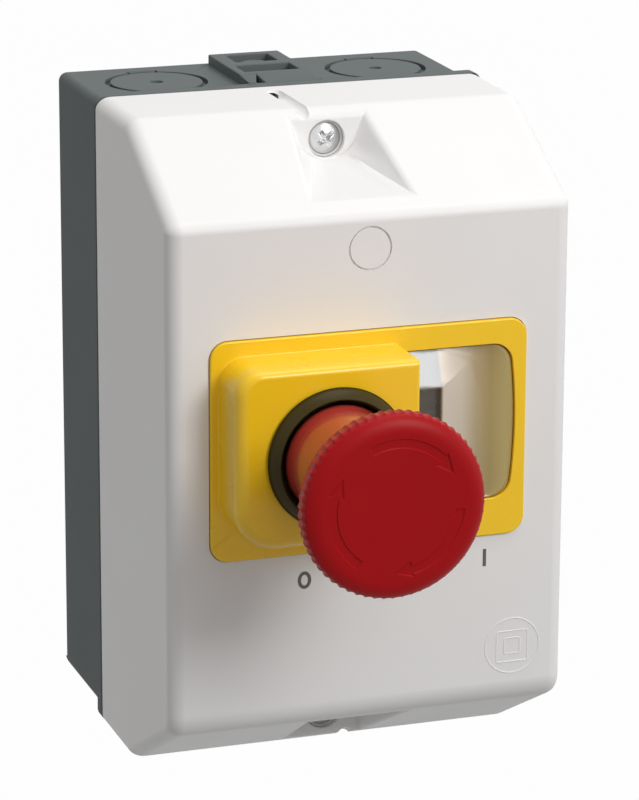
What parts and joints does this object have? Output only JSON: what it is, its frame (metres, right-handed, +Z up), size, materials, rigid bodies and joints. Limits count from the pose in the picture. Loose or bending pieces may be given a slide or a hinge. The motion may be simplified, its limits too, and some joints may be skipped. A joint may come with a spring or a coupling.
{
  "type": "enclosed motor protection breaker",
  "caption": "Wall box with a pale sloped cover, a yellow operator plate with a red twist-release mushroom stop and a soft start window, and a rail-mounted breaker inside.",
  "frame": {"origin": "centre of the flat rear face that lies on the wall", "axes": "+X to the right seen from the front, +Y into the wall, +Z up"},
  "size_m": [0.09, 0.1428, 0.1479],
  "materials": {
    "base_plastic": "fine-grained dark grey moulding",
    "cover_plastic": "fine-grained off-white moulding",
    "yellow_plastic": "satin yellow moulding",
    "red_plastic": "satin red moulding",
    "black_plastic": "glossy black moulding",
    "case_plastic": "light grey moulding",
    "membrane_pvc": "clear soft membrane, slightly yellowed",
    "seal_rubber": "matt black rubber",
    "zinc_steel": "zinc-plated steel",
    "spring_steel": "bright spring wire",
    "terminal_brass": "plain brass"
  },
  "bodies": {
    "casing": {"rear_box": "base_plastic", "cover_shell": "cover_plastic", "cover_gasket": "seal_rubber", "cover_screw_washer_top": "case_plastic", "cover_screw_washer_bottom": "case_plastic", "cover_screw_top": "zinc_steel", "cover_screw_bottom": "zinc_steel", "operator_plate": "yellow_plastic", "plate_seal": "seal_rubber", "start_membrane": "membrane_pvc", "membrane_clamp": "base_plastic", "clamp_screw_lower_left": "zinc_steel", "clamp_screw_upper_left": "zinc_steel", "clamp_screw_lower_right": "zinc_steel", "clamp_screw_upper_right": "zinc_steel", "stop_collar": "black_plastic", "stop_collar_seal": "seal_rubber", "stop_collar_nut": "black_plastic", "return_spring": "spring_steel", "din_rail": "zinc_steel", "rail_screw_left": "zinc_steel", "rail_screw_right": "zinc_steel", "earth_terminal": "terminal_brass", "earth_screw": "zinc_steel", "breaker_back_case": "case_plastic", "breaker_front_case": "case_plastic", "terminal_clamp_line_1": "zinc_steel", "terminal_screw_line_1": "zinc_steel", "terminal_clamp_line_2": "zinc_steel", "terminal_screw_line_2": "zinc_steel", "terminal_clamp_line_3": "zinc_steel", "terminal_screw_line_3": "zinc_steel", "terminal_clamp_load_1": "zinc_steel", "terminal_screw_load_1": "zinc_steel", "terminal_clamp_load_2": "zinc_steel", "terminal_screw_load_2": "zinc_steel", "terminal_clamp_load_3": "zinc_steel", "terminal_screw_load_3": "zinc_steel"},
    "pusher": {"plunger": "black_plastic"},
    "mushroom": {"mushroom_head": "red_plastic", "head_stem": "black_plastic"},
    "stop_key": {"stop_button": "red_plastic"},
    "start_key": {"start_button": "black_plastic"},
    "dial": {"setting_dial": "case_plastic"},
    "foot": {"rail_foot": "base_plastic"}
  },
  "joints": [
    {"name": "mushroom_press", "type": "slide", "parent": "casing", "child": "pusher", "axis": [0, 1, 0], "range_m": [0, 0.005], "stiffness_N_per_m": 800, "deforming": ["return_spring"]},
    {"name": "mushroom_twist", "type": "hinge", "parent": "pusher", "child": "mushroom", "pos_m": [-0.012, -0.1398, 0.00755], "axis": [0, 1, 0], "range_deg": [0, 45], "stiffness_Nm_per_rad": 0.02},
    {"name": "stop_key_press", "type": "slide", "parent": "casing", "child": "stop_key", "axis": [0, 1, 0], "range_m": [0, 0.005], "stiffness_N_per_m": 300},
    {"name": "start_key_press", "type": "slide", "parent": "casing", "child": "start_key", "axis": [0, 1, 0], "range_m": [0, 0.004], "stiffness_N_per_m": 400},
    {"name": "dial_turn", "type": "hinge", "parent": "casing", "child": "dial", "pos_m": [0.004, -0.0819, -0.014], "axis": [0, 1, 0], "range_deg": [0, 240]},
    {"name": "foot_slide", "type": "slide", "parent": "casing", "child": "foot", "axis": [0, 0, -1], "range_m": [0, 0.004], "stiffness_N_per_m": 800}
  ],
  "couplings": [
    {"joint": "stop_key_press", "follows": "mushroom_press", "ratio": 1}
  ]
}
